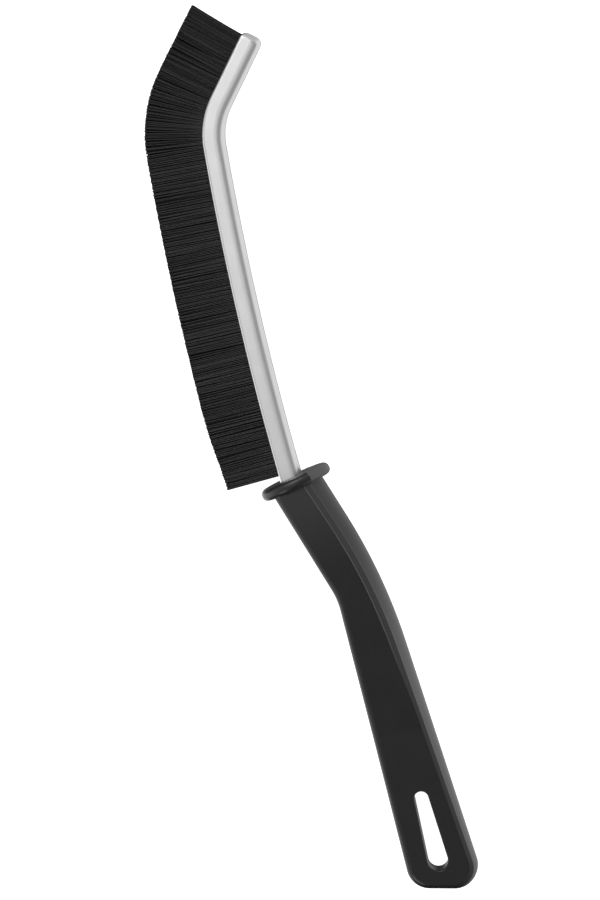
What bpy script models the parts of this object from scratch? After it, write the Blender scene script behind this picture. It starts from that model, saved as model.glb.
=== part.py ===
"""Wheel brush: a crimped steel strip of nylon filament in a cranked, one-piece moulded handle.

The brush lies on its flat side. +Y runs along the lower handle towards the head, the filament
stands out towards -X, and +Z is the thickness. Plan positions below are measured from the middle
of the handle's foot; an empty then carries the whole brush so that the origin is the centre of
its box, on the surface that it lies on.
"""

import math

import bmesh
import bpy
from mathutils import Vector

MM = 0.001
GAP = 0.3 * MM  # between pieces that touch
QUARTER_TURN = math.pi / 2
SHARP_ANGLE = math.radians(35.0)  # edges that turn more than this are shaded as creases

# Strip: where it leaves the collar, and the runs of its centre line from the tang to the nose.
MOUTH = Vector((-8.8, 119.0)) * MM
TANG_HEADING = math.radians(-15.0)
TANG_GRIP = 9.0 * MM
TANG_BEND_RADIUS = 25.0 * MM
TANG_NECK = 6.0 * MM
BOW_RADIUS = 880.0 * MM
BOW_TURN = math.radians(6.0)
TIP_BEND_RADIUS = 20.0 * MM
TIP_BEND_TURN = math.radians(36.0)
TIP_LENGTH = 20.0 * MM
RUNS = (
    (TANG_GRIP, 0.0),
    (TANG_BEND_RADIUS * -TANG_HEADING, -TANG_HEADING),
    (TANG_NECK, 0.0),
    (BOW_RADIUS * BOW_TURN, BOW_TURN),
    (TIP_BEND_RADIUS * TIP_BEND_TURN, TIP_BEND_TURN),
    (TIP_LENGTH, 0.0),
)
TANG_LENGTH = sum(length for length, turn in RUNS[:3])
STRIP_LENGTH = sum(length for length, turn in RUNS)
TURN_PER_STATION = math.radians(5.0)
LENGTH_PER_STATION = 12.0 * MM

# Channel section: height is from the rounded back to the lips, width is across the thickness.
CHANNEL_HEIGHT = 6.3 * MM
CHANNEL_WIDTH = 5.5 * MM
CHANNEL_WALL = 0.7 * MM
BACK_RADIUS = 2.6 * MM
LIP_RADIUS = 0.9 * MM
LIP_INTURN = 0.3 * MM
NOSE_RADIUS = 1.5 * MM
NOSE_STEPS = 4
BACK_STEPS = 5
LIP_STEPS = 3

# Filament: folded over the core wire, held by the lips, trimmed level.
WIRE_RADIUS = 0.7 * MM
FILAMENT_LENGTH = 15.4 * MM  # beyond the lips
NOSE_SPLAY = 1.3 * MM  # the last trimmed ends lean past the nose by this much
NOSE_SPLAY_FROM = 16.0 * MM
TIP_HALF_THICKNESS = 2.2 * MM
BUNDLES = 36
FIRST_BUNDLE = TANG_LENGTH + 0.4 * MM
LAST_BUNDLE = STRIP_LENGTH - 1.2 * MM
WIRE_IN_TANG = 10.0 * MM
WIRE_HOLE_POINTS = 10
FOLD_STEPS = 4

# Handle outline, in plan: the corners of its two long edges and of its slanted foot.
LEFT_TOP = Vector((-14.7, 115.4)) * MM
LEFT_CRANK = Vector((-5.45, 82.4)) * MM
LEFT_FOOT = Vector((-7.85, -0.9)) * MM
RIGHT_FOOT = Vector((12.2, -6.5)) * MM
RIGHT_CRANK = Vector((8.5, 85.6)) * MM
RIGHT_TOP = Vector((-0.9, 117.4)) * MM
LEFT_CRANK_RADIUS = 20.0 * MM
RIGHT_CRANK_RADIUS = 155.0 * MM
FOOT_RADIUS = 6.4 * MM
EDGE_STATIONS = 34
CORNER_STEPS = 7

# Handle thickness: level round the slot, then growing towards the collar.
FOOT_HALF_THICKNESS = 3.7 * MM
COLLAR_HALF_THICKNESS = 6.4 * MM
LEVEL_TO_Y = 42.0 * MM
THICKNESS_BOW = 0.35  # share of the growth that is bowed; the rest is straight
SOFT_EDGE_RADIUS = 1.8 * MM  # left edge and foot
SIDE_WIDTH_AT_FOOT = 1.1 * MM  # right edge: curved side, then a narrow facet
SIDE_WIDTH_AT_COLLAR = 3.4 * MM
SIDE_ARC = math.radians(65.0)
FACET_WIDTH = 1.7 * MM
FACET_DROP = 0.4 * MM
EDGE_STEPS = 3

# Collar: an oval flange with a bull-nosed rim and a low crown round the strip.
COLLAR_CENTRE = Vector((-7.85, 116.4)) * MM
COLLAR_HEADING = math.radians(-9.4)
COLLAR_HALF_LENGTH = 10.15 * MM
COLLAR_HALF_DEPTH = 8.0 * MM
COLLAR_THICKNESS = 2.9 * MM
CROWN_HEIGHT = 0.6 * MM
CROWN_INSET = 4.8 * MM
COLLAR_POINTS = 36
RIM_STEPS = 6

# Hanging slot: two round ends of different size, joined by their tangents.
SLOT_TOP = Vector((1.7, 22.9)) * MM
SLOT_TOP_RADIUS = 2.0 * MM
SLOT_FOOT = Vector((1.4, 5.0)) * MM
SLOT_FOOT_RADIUS = 2.85 * MM
SLOT_END_STEPS = 8

BLACK_PLASTIC = ((0.02, 0.02, 0.021), 0.42, 0.0)
SATIN_STEEL = ((0.62, 0.62, 0.6), 0.34, 1.0)
BRIGHT_WIRE = ((0.55, 0.55, 0.54), 0.3, 1.0)
BLACK_NYLON = ((0.012, 0.012, 0.012), 0.5, 0.0)


def clear_scene():
    for item in list(bpy.data.objects):
        bpy.data.objects.remove(item, do_unlink=True)


def make_material(name, look):
    colour, roughness, metallic = look
    material = bpy.data.materials.new(name)
    material.use_nodes = True
    shader = material.node_tree.nodes["Principled BSDF"]
    shader.inputs["Base Color"].default_value = (*colour, 1.0)
    shader.inputs["Roughness"].default_value = roughness
    shader.inputs["Metallic"].default_value = metallic
    material.diffuse_color = (*colour, 1.0)
    return material


def add_object(name, data, brush, material=None):
    item = bpy.data.objects.new(name, data)
    bpy.context.scene.collection.objects.link(item)
    item.parent = brush
    if material:
        data.materials.append(material)
    return item


def mesh_from(bm, name):
    """A triangulated, shaded mesh of bm with its faces pointing out."""
    bmesh.ops.recalc_face_normals(bm, faces=bm.faces)
    bmesh.ops.triangulate(bm, faces=bm.faces)
    mesh = bpy.data.meshes.new(name)
    bm.to_mesh(mesh)
    bm.free()
    mesh.shade_smooth()
    mesh.set_sharp_from_angle(angle=SHARP_ANGLE)
    return mesh


def add_cutter(name, mesh, brush):
    cutter = add_object(name, mesh, brush)
    cutter.hide_render = True
    cutter.display_type = "WIRE"
    return cutter


def combine(item, cutter, operation):
    modifier = item.modifiers.new(cutter.name, "BOOLEAN")
    modifier.operation = operation
    modifier.object = cutter


def follow(start, heading, runs, distance):
    """The point and heading that lie a distance along straight and round runs."""
    x, y = start
    for length, turn in runs:
        step = min(distance, length)
        if turn:
            radius = length / turn
            turned = heading + step / radius
            x += radius * (math.cos(heading) - math.cos(turned))
            y += radius * (math.sin(turned) - math.sin(heading))
            heading = turned
        else:
            x += step * math.sin(heading)
            y += step * math.cos(heading)
        distance -= step
        if distance <= 0.0:
            break
    return Vector((x, y)), heading


STRIP_START = MOUTH - follow((0.0, 0.0), TANG_HEADING, RUNS, TANG_LENGTH)[0]


def strip_point(along, offset, height):
    """A point beside the strip's centre line: offset is towards the back, height is along Z."""
    point, heading = follow(STRIP_START, TANG_HEADING, RUNS, along)
    past_end = max(0.0, along - STRIP_LENGTH)
    x = point.x + offset * math.cos(heading) + past_end * math.sin(heading)
    y = point.y - offset * math.sin(heading) + past_end * math.cos(heading)
    return Vector((x, y, height))


def strip_stations(first, last):
    """Distances along the strip from first to last, closer together where it bends."""
    stations = [first]
    begin = 0.0
    for length, turn in RUNS:
        steps = max(math.ceil(turn / TURN_PER_STATION), math.ceil(length / LENGTH_PER_STATION))
        for step in range(steps + 1):
            along = begin + length * step / steps
            if stations[-1] + MM < along < last - MM:
                stations.append(along)
        begin += length
    stations.append(last)
    return stations


def arc_points(centre, radius, first, last, steps):
    """Points on a circle in a plane, from one angle to another."""
    return [
        Vector((centre[0] + radius * math.cos(angle), centre[1] + radius * math.sin(angle)))
        for angle in (first + (last - first) * step / steps for step in range(steps + 1))
    ]


def channel_outline(grow=0.0):
    """The channel's outer section: offset towards the back, then height."""
    half_height = CHANNEL_HEIGHT / 2 + grow
    half_width = CHANNEL_WIDTH / 2 + grow
    back, lip = BACK_RADIUS + grow, LIP_RADIUS + grow
    upper = arc_points((half_height - back, half_width - back), back, 0.0, QUARTER_TURN, BACK_STEPS)
    upper += arc_points((lip - half_height, half_width - lip), lip, QUARTER_TURN, math.pi, LIP_STEPS)
    lower = [Vector((point.x, -point.y)) for point in reversed(upper[1:])]
    return upper + lower


def cavity_outline():
    """The channel's hollow: a round bottom, straight walls, and a mouth narrowed by the lips."""
    half_height = CHANNEL_HEIGHT / 2
    half_width = CHANNEL_WIDTH / 2 - CHANNEL_WALL
    mouth = half_width - LIP_INTURN
    bottom = BACK_RADIUS - CHANNEL_WALL
    centre = half_height - CHANNEL_WALL - bottom
    lip_inside = CHANNEL_WALL - half_height
    outside = -half_height - MM
    upper = arc_points((centre, half_width - bottom), bottom, 0.0, QUARTER_TURN, BACK_STEPS)
    upper += [Vector((lip_inside + LIP_INTURN, half_width)), Vector((lip_inside, mouth))]
    upper.append(Vector((outside, mouth)))
    lower = [Vector((point.x, -point.y)) for point in reversed(upper)]
    return upper + lower


def bridge_rings(bm, rings, cap=True):
    """Faces between closed rings of vertices, and over the first and last."""
    count = len(rings[0])
    for ring, following in zip(rings, rings[1:]):
        for index in range(count):
            after = (index + 1) % count
            bm.faces.new((ring[index], ring[after], following[after], following[index]))
    if cap:
        bm.faces.new(rings[0])
        bm.faces.new(list(reversed(rings[-1])))


def sweep_mesh(name, outline, stations, shrinks=None):
    """A section swept along the strip; shrinks draw the section in at each station."""
    bm = bmesh.new()
    rings = []
    reach = max(abs(point.x) for point in outline)
    span = max(abs(point.y) for point in outline)
    for index, along in enumerate(stations):
        shrink = shrinks[index] if shrinks else 0.0
        across, through = 1.0 - shrink / reach, 1.0 - shrink / span
        rings.append(
            [
                bm.verts.new(strip_point(along, point.x * across, point.y * through))
                for point in outline
            ]
        )
    bridge_rings(bm, rings)
    return mesh_from(bm, name)


def make_channel(brush):
    """The steel strip: a rounded bar with a closed nose, hollowed out from the lip side."""
    stations = strip_stations(0.0, STRIP_LENGTH - NOSE_RADIUS)
    shrinks = [0.0] * len(stations)
    for step in range(1, NOSE_STEPS + 1):
        angle = QUARTER_TURN * step / NOSE_STEPS
        stations.append(STRIP_LENGTH - NOSE_RADIUS * (1.0 - math.sin(angle)))
        shrinks.append(NOSE_RADIUS * (1.0 - math.cos(angle)))
    outer = sweep_mesh("channel", channel_outline(), stations, shrinks)
    channel = add_object("channel", outer, brush, make_material("satin_steel", SATIN_STEEL))
    hollow = sweep_mesh(
        "channel_hollow",
        cavity_outline(),
        [-0.5 * MM, *strip_stations(0.0, STRIP_LENGTH - CHANNEL_WALL)],
    )
    combine(channel, add_cutter("channel_hollow", hollow, brush), "DIFFERENCE")
    return channel


def fold_centre():
    """How far behind the centre line the filament's fold, and so the core wire, lies."""
    fold_radius = CHANNEL_WIDTH / 2 - CHANNEL_WALL - GAP
    return CHANNEL_HEIGHT / 2 - CHANNEL_WALL - GAP - fold_radius


def make_core_wire(brush):
    """The retaining wire, from inside the tang to the nose."""
    stations = strip_stations(TANG_LENGTH - WIRE_IN_TANG, STRIP_LENGTH - CHANNEL_WALL - GAP)
    curve = bpy.data.curves.new("core_wire", "CURVE")
    curve.dimensions = "3D"
    curve.bevel_depth = WIRE_RADIUS
    curve.bevel_resolution = 2
    curve.use_fill_caps = True
    spline = curve.splines.new("POLY")
    spline.points.add(len(stations) - 1)
    for point, along in zip(spline.points, stations):
        point.co = (*strip_point(along, fold_centre(), 0.0), 1.0)
    return add_object("core_wire", curve, brush, make_material("bright_wire", BRIGHT_WIRE))


def bundle_outline():
    """The fold round the wire, pinched by the lips and a little spread at the trimmed end."""
    fold_radius = CHANNEL_WIDTH / 2 - CHANNEL_WALL - GAP
    pinched = fold_radius - LIP_INTURN
    lip_outside = -CHANNEL_HEIGHT / 2
    lip_inside = lip_outside + CHANNEL_WALL
    upper = arc_points((fold_centre(), 0.0), fold_radius, 0.0, QUARTER_TURN, FOLD_STEPS)
    upper += [Vector((lip_inside + LIP_INTURN + GAP, fold_radius))]
    upper += [Vector((lip_inside + GAP, pinched)), Vector((lip_outside, pinched))]
    upper += [Vector((lip_outside - FILAMENT_LENGTH, TIP_HALF_THICKNESS))]
    lower = [Vector((point.x, -point.y)) for point in reversed(upper[1:])]
    return upper + lower


def bundle_point(along, point):
    """A point of a bundle's section; its trimmed end leans over near the nose."""
    near_nose = max(0.0, 1.0 - (STRIP_LENGTH - along) / NOSE_SPLAY_FROM)
    out = max(0.0, (-CHANNEL_HEIGHT / 2 - point.x) / FILAMENT_LENGTH)
    return strip_point(along, point.x, point.y) + strip_lean(along) * near_nose * out


def strip_lean(along):
    heading = follow(STRIP_START, TANG_HEADING, RUNS, along)[1]
    return Vector((math.sin(heading), math.cos(heading), 0.0)) * NOSE_SPLAY


def close_section(bm, outer, loop):
    """Close one end of a bundle: the fold round the wire's hole, then the stub past the lips."""
    tip = len(outer) // 2
    fold = outer[tip + 2:] + outer[:tip]
    edges = [
        bm.edges.new((vert, ring[(index + 1) % len(ring)]))
        for ring in (fold, loop)
        for index, vert in enumerate(ring)
    ]
    bmesh.ops.triangle_fill(bm, edges=edges, use_beauty=True)
    bm.faces.new(outer[tip - 1:tip + 3])


def make_bundle(number, first, last, brush, material):
    """Filament folded over the wire, between two distances along the strip."""
    bm = bmesh.new()
    hole_radius = WIRE_RADIUS + GAP
    hole = arc_points((fold_centre(), 0.0), hole_radius, 0.0, 2 * math.pi, WIRE_HOLE_POINTS)[:-1]
    outers = []
    loops = []
    for along in (first, last):
        outers.append([bm.verts.new(bundle_point(along, point)) for point in bundle_outline()])
        loops.append([bm.verts.new(bundle_point(along, point)) for point in hole])
        close_section(bm, outers[-1], loops[-1])
    bridge_rings(bm, outers, cap=False)
    bridge_rings(bm, loops, cap=False)
    name = f"filament_bundle_{number:02d}"
    return add_object(name, mesh_from(bm, name), brush, material)


def make_filament(brush):
    material = make_material("black_nylon", BLACK_NYLON)
    pitch = (LAST_BUNDLE - FIRST_BUNDLE) / BUNDLES
    for number in range(BUNDLES):
        first = FIRST_BUNDLE + pitch * number
        make_bundle(number + 1, first + GAP / 2, first + pitch - GAP / 2, brush, material)


def round_corner(before, corner, after, radius, steps):
    """Points of the arc that rounds a corner of an outline."""
    incoming = (corner - before).normalized()
    outgoing = (after - corner).normalized()
    turn = incoming.angle_signed(outgoing)
    side = 1.0 if turn > 0.0 else -1.0
    first = corner - incoming * radius * math.tan(abs(turn) / 2)
    centre = first + Vector((incoming.y, -incoming.x)) * radius * side
    start = first - centre
    points = []
    for step in range(steps + 1):
        angle = -turn * step / steps
        cosine, sine = math.cos(angle), math.sin(angle)
        spoke = Vector((start.x * cosine - start.y * sine, start.x * sine + start.y * cosine))
        points.append(centre + spoke)
    return points


def even_points(route, count):
    """Points at even distances along a route of straight pieces."""
    lengths = [(after - before).length for before, after in zip(route, route[1:])]
    spacing = sum(lengths) / (count - 1)
    points = []
    for number in range(count):
        distance = spacing * number
        for piece, length in enumerate(lengths):
            if distance <= length or piece == len(lengths) - 1:
                points.append(route[piece].lerp(route[piece + 1], min(1.0, distance / length)))
                break
            distance -= length
    return points


def half_thickness(y):
    """Half the handle's thickness: level by the slot, easing up to the collar."""
    share = max(0.0, (y - LEVEL_TO_Y) / (COLLAR_CENTRE.y - LEVEL_TO_Y))
    grown = min(1.0, share + share * (1.0 - share) * THICKNESS_BOW)
    return FOOT_HALF_THICKNESS + (COLLAR_HALF_THICKNESS - FOOT_HALF_THICKNESS) * grown


def edge_profile(sidedness, y):
    """Inset and height pairs from the silhouette up to the flat face.

    Sidedness is 0 on the soft left edge and 1 on the right edge with its facet.
    """
    half = half_thickness(y)
    share = max(0.0, min(1.0, y / COLLAR_CENTRE.y))
    side = SIDE_WIDTH_AT_FOOT + (SIDE_WIDTH_AT_COLLAR - SIDE_WIDTH_AT_FOOT) * share
    soft = [(0.0, 0.0)]
    sharp = [(0.0, 0.0)]
    for step in range(EDGE_STEPS + 1):
        angle = QUARTER_TURN * step / EDGE_STEPS
        inset = SOFT_EDGE_RADIUS * (1.0 - math.cos(angle))
        soft.append((inset, half - SOFT_EDGE_RADIUS * (1.0 - math.sin(angle))))
    for step in range(1, EDGE_STEPS + 1):
        angle = SIDE_ARC * step / EDGE_STEPS
        inset = side * (1.0 - math.cos(angle)) / (1.0 - math.cos(SIDE_ARC))
        sharp.append((inset, (half - FACET_DROP) * math.sin(angle) / math.sin(SIDE_ARC)))
    sharp.append((side + FACET_WIDTH, half))
    return [
        (a[0] + (b[0] - a[0]) * sidedness, a[1] + (b[1] - a[1]) * sidedness)
        for a, b in zip(soft, sharp)
    ]


def grip_mesh():
    """The grip without its collar: rings round the outline, and rungs across its flat faces."""
    foot_left = round_corner(LEFT_CRANK, LEFT_FOOT, RIGHT_FOOT, FOOT_RADIUS, CORNER_STEPS)
    foot_right = round_corner(LEFT_FOOT, RIGHT_FOOT, RIGHT_CRANK, FOOT_RADIUS, CORNER_STEPS)
    crank_left = round_corner(LEFT_TOP, LEFT_CRANK, LEFT_FOOT, LEFT_CRANK_RADIUS, CORNER_STEPS)
    crank_right = round_corner(RIGHT_TOP, RIGHT_CRANK, RIGHT_FOOT, RIGHT_CRANK_RADIUS, CORNER_STEPS)
    left = even_points([LEFT_TOP, *crank_left, foot_left[0]], EDGE_STATIONS)
    right = even_points([RIGHT_TOP, *crank_right, foot_right[-1]], EDGE_STATIONS)
    outline = left + foot_left[1:] + foot_right[:-1] + list(reversed(right))
    inwards, sidedness = [], []
    last = len(outline) - 1
    for index, point in enumerate(outline):
        if index < EDGE_STATIONS:
            inwards.append((right[index] - point).normalized())
            sidedness.append(0.0)
        elif index > last - EDGE_STATIONS:
            inwards.append((left[last - index] - point).normalized())
            sidedness.append(1.0)
        else:
            along = outline[index + 1] - outline[index - 1]
            inwards.append(Vector((-along.y, along.x)).normalized())
            corner = (index - EDGE_STATIONS + 1) / (last + 2 - 2 * EDGE_STATIONS)
            sidedness.append(max(0.0, min(1.0, 2.0 * corner - 1.0)))
    bm = bmesh.new()
    columns = []
    for point, inward, sided in zip(outline, inwards, sidedness):
        profile = edge_profile(sided, point.y)
        heights = [(inset, -height) for inset, height in reversed(profile[1:])] + profile
        column = []
        for inset, height in heights:
            place = point + inward * inset
            column.append(bm.verts.new((place.x, place.y, height)))
        columns.append(column)
    for column, following in zip(columns, columns[1:]):
        for level in range(len(column) - 1):
            bm.faces.new((column[level], column[level + 1], following[level + 1], following[level]))
    for face in (0, -1):
        for index in range(EDGE_STATIONS - 1):
            near, far = columns[index][face], columns[index + 1][face]
            other, beyond = columns[last - index][face], columns[last - index - 1][face]
            bm.faces.new((near, far, beyond, other))
        bm.faces.new([column[face] for column in columns[EDGE_STATIONS - 1 : last + 2 - EDGE_STATIONS]])
    bm.faces.new(columns[0] + list(reversed(columns[last])))
    return mesh_from(bm, "handle")


def collar_mesh():
    """The oval flange, as rings stacked square to its heading."""
    bm = bmesh.new()
    along = Vector((math.sin(COLLAR_HEADING), math.cos(COLLAR_HEADING)))
    across = Vector((math.cos(COLLAR_HEADING), -math.sin(COLLAR_HEADING)))
    rim = COLLAR_THICKNESS / 2
    tilts = [math.pi * (step / RIM_STEPS - 0.5) for step in range(RIM_STEPS + 1)]
    levels = [(rim * (1.0 - math.cos(tilt)), rim * math.sin(tilt)) for tilt in tilts]
    levels.append((CROWN_INSET, rim + CROWN_HEIGHT))
    rings = []
    for inset, rise in levels:
        ring = []
        for number in range(COLLAR_POINTS):
            angle = 2 * math.pi * number / COLLAR_POINTS
            sideways = (COLLAR_HALF_LENGTH - inset) * math.cos(angle)
            place = COLLAR_CENTRE + along * rise + across * sideways
            height = (COLLAR_HALF_DEPTH - inset) * math.sin(angle)
            ring.append(bm.verts.new((place.x, place.y, height)))
        rings.append(ring)
    bridge_rings(bm, rings)
    return mesh_from(bm, "collar")


def slot_mesh():
    """A prism through the foot of the handle, wider towards the foot."""
    axis = SLOT_TOP - SLOT_FOOT
    square = math.atan2(axis.y, axis.x) - QUARTER_TURN
    lean = math.asin((SLOT_FOOT_RADIUS - SLOT_TOP_RADIUS) / axis.length)
    right, left = square + lean, square + math.pi - lean
    outline = arc_points(SLOT_TOP, SLOT_TOP_RADIUS, right, left, SLOT_END_STEPS)
    outline += arc_points(SLOT_FOOT, SLOT_FOOT_RADIUS, left, right + 2 * math.pi, SLOT_END_STEPS)
    depth = COLLAR_HALF_THICKNESS
    bm = bmesh.new()
    rings = [[bm.verts.new((p.x, p.y, height)) for p in outline] for height in (-depth, depth)]
    bridge_rings(bm, rings)
    return mesh_from(bm, "slot")


def make_handle(brush):
    """The moulding: grip and collar as one, with the hanging slot and the socket for the tang."""
    material = make_material("black_plastic", BLACK_PLASTIC)
    handle = add_object("handle", grip_mesh(), brush, material)
    socket = sweep_mesh(
        "socket",
        channel_outline(GAP),
        [-GAP, *strip_stations(0.0, TANG_LENGTH + COLLAR_THICKNESS)],
    )
    combine(handle, add_cutter("collar", collar_mesh(), brush), "UNION")
    combine(handle, add_cutter("slot", slot_mesh(), brush), "DIFFERENCE")
    combine(handle, add_cutter("socket", socket, brush), "DIFFERENCE")
    return handle


def lay_down(brush, pieces):
    """Moves the whole brush so that the origin is the centre of the foot of its box."""
    bpy.context.view_layer.update()
    graph = bpy.context.evaluated_depsgraph_get()
    points = []
    for piece in pieces:
        shape = piece.evaluated_get(graph)
        points += [shape.matrix_world @ vert.co for vert in shape.to_mesh().vertices]
        shape.to_mesh_clear()
    low = [min(point[axis] for point in points) for axis in range(3)]
    high = [max(point[axis] for point in points) for axis in range(3)]
    brush.location = (-(low[0] + high[0]) / 2, -(low[1] + high[1]) / 2, -low[2])


def main():
    clear_scene()
    brush = bpy.data.objects.new("brush", None)
    bpy.context.scene.collection.objects.link(brush)
    make_handle(brush)
    make_channel(brush)
    make_core_wire(brush)
    make_filament(brush)
    lay_down(brush, [item for item in bpy.data.objects if item.parent and not item.hide_render])


main()
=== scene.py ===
"""Wheel brush: a bent steel strip of folded nylon filament in a cranked, collared handle.

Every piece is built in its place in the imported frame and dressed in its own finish, and the whole
brush lies on its flat side on a pale floor. Plan positions are measured from the middle of the
handle's foot: +Y runs towards the head, the filament points to -X, and +Z is the thickness.
"""

import logging
import math
from dataclasses import dataclass
from enum import Enum
from typing import Callable, Optional, Sequence, Union

import bmesh
import bpy
import numpy as np
from mathutils import Matrix, Vector


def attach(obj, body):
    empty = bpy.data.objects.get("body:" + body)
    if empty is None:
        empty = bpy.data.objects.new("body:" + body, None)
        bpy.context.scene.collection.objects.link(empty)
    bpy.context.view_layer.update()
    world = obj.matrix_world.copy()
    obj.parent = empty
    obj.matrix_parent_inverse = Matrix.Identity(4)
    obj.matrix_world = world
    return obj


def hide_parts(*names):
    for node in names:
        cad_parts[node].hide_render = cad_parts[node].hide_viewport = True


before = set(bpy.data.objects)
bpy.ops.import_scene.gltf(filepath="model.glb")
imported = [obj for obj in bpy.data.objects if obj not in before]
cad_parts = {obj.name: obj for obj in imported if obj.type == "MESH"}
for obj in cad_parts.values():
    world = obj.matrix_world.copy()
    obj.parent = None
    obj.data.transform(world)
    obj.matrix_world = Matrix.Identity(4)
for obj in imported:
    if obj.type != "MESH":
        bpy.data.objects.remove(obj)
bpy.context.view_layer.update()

MM = 0.001
QUARTER_TURN = math.pi / 2
CREASE = math.radians(40.0)  # edges that turn by more than this stay sharp
BODY = "root"
PLAN_ZERO = Vector((5.5993, -122.5317, 8.0)) * MM  # where the plan's zero lies in the frame

LOG = logging.getLogger("wheel_brush")

Colour = tuple[float, float, float]
Pair = tuple[float, float]


class Slot(Enum):
    """The record's material slots."""

    PLASTIC = "black_plastic"
    STEEL = "satin_steel"
    WIRE = "bright_wire"
    NYLON = "black_nylon"


class Cut(Enum):
    """What a tool body does to the moulding or pressing that it meets."""

    ADD = "UNION"
    REMOVE = "DIFFERENCE"


# Node trees

def arithmetic(operation: str, swapped: bool = False) -> Callable[["Lead", "Feed"], "Lead"]:
    """The method behind one arithmetic sign.

    Args:
        operation: The Math node's operation.
        swapped: Whether the lead stands after the value.

    Returns:
        The method.
    """

    def work(lead: "Lead", value: "Feed") -> "Lead":
        """Adds the Math node."""
        pair = (value, lead) if swapped else (lead, value)
        return lead.loom.sum(operation, *pair)

    return work


class Lead:
    """One output of a node; arithmetic on it adds the node that works the answer out."""

    __add__ = arithmetic("ADD")
    __radd__ = arithmetic("ADD", swapped=True)
    __sub__ = arithmetic("SUBTRACT")
    __rsub__ = arithmetic("SUBTRACT", swapped=True)
    __mul__ = arithmetic("MULTIPLY")
    __rmul__ = arithmetic("MULTIPLY", swapped=True)
    __truediv__ = arithmetic("DIVIDE")
    __gt__ = arithmetic("GREATER_THAN")

    def __init__(self, loom: "Loom", socket: bpy.types.NodeSocket) -> None:
        """Keeps the tree and the output socket."""
        self.loom = loom
        self.socket = socket

    def other(self, name: str) -> "Lead":
        """Another output of the same node."""
        return Lead(self.loom, self.socket.node.outputs[name])


Feed = Union[Lead, float, int, bool, str, Sequence[float], bpy.types.Material]


class Loom:
    """A node tree, and the ways that this file adds nodes to one."""

    def __init__(self, tree: bpy.types.NodeTree) -> None:
        """Keeps the shader or geometry node tree."""
        self.tree = tree

    def node(
        self,
        kind: str,
        settings: Optional[dict[str, object]] = None,
        inputs: Optional[dict[Union[int, str], Feed]] = None,
        output: Union[int, str] = 0,
    ) -> Lead:
        """Adds one node.

        Args:
            kind: The node's type.
            settings: What is set on the node itself, before its sockets.
            inputs: A value or a lead for each named or numbered socket.
            output: The output that is wanted.

        Returns:
            A lead from that output.
        """
        made = self.tree.nodes.new(kind)
        for name, value in (settings or {}).items():
            setattr(made, name, value)
        for key, value in (inputs or {}).items():
            if isinstance(value, Lead):
                self.tree.links.new(value.socket, made.inputs[key])
            else:
                made.inputs[key].default_value = value
        return Lead(self, made.outputs[output])

    def sum(self, operation: str, first: Feed, second: Feed = 0.0, third: Feed = 0.0) -> Lead:
        """One Math node."""
        inputs = {0: first, 1: second, 2: third}
        return self.node("ShaderNodeMath", {"operation": operation}, inputs)

    def vector(self, operation: str, first: Feed, second: Feed) -> Lead:
        """One Vector Math node between two vectors."""
        return self.node("ShaderNodeVectorMath", {"operation": operation}, {0: first, 1: second})

    def scaled(self, direction: Feed, length: Feed) -> Lead:
        """A vector times a number."""
        inputs = {"Vector": direction, "Scale": length}
        return self.node("ShaderNodeVectorMath", {"operation": "SCALE"}, inputs)

    def clamped(self, value: Feed) -> Lead:
        """A number held between 0 and 1."""
        return self.sum("MINIMUM", self.sum("MAXIMUM", value, 0.0), 1.0)

    def blend(self, share: Feed, first: Feed, second: Feed) -> Lead:
        """A number between two numbers."""
        return self.node("ShaderNodeMix", {}, {0: share, 2: first, 3: second})

    def ease(self, value: Feed, low: float, high: float) -> Lead:
        """A smooth step from 0 at low to 1 at high."""
        inputs = {"Value": value, "From Min": low, "From Max": high}
        return self.node("ShaderNodeMapRange", {"interpolation_type": "SMOOTHSTEP"}, inputs)


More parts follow.
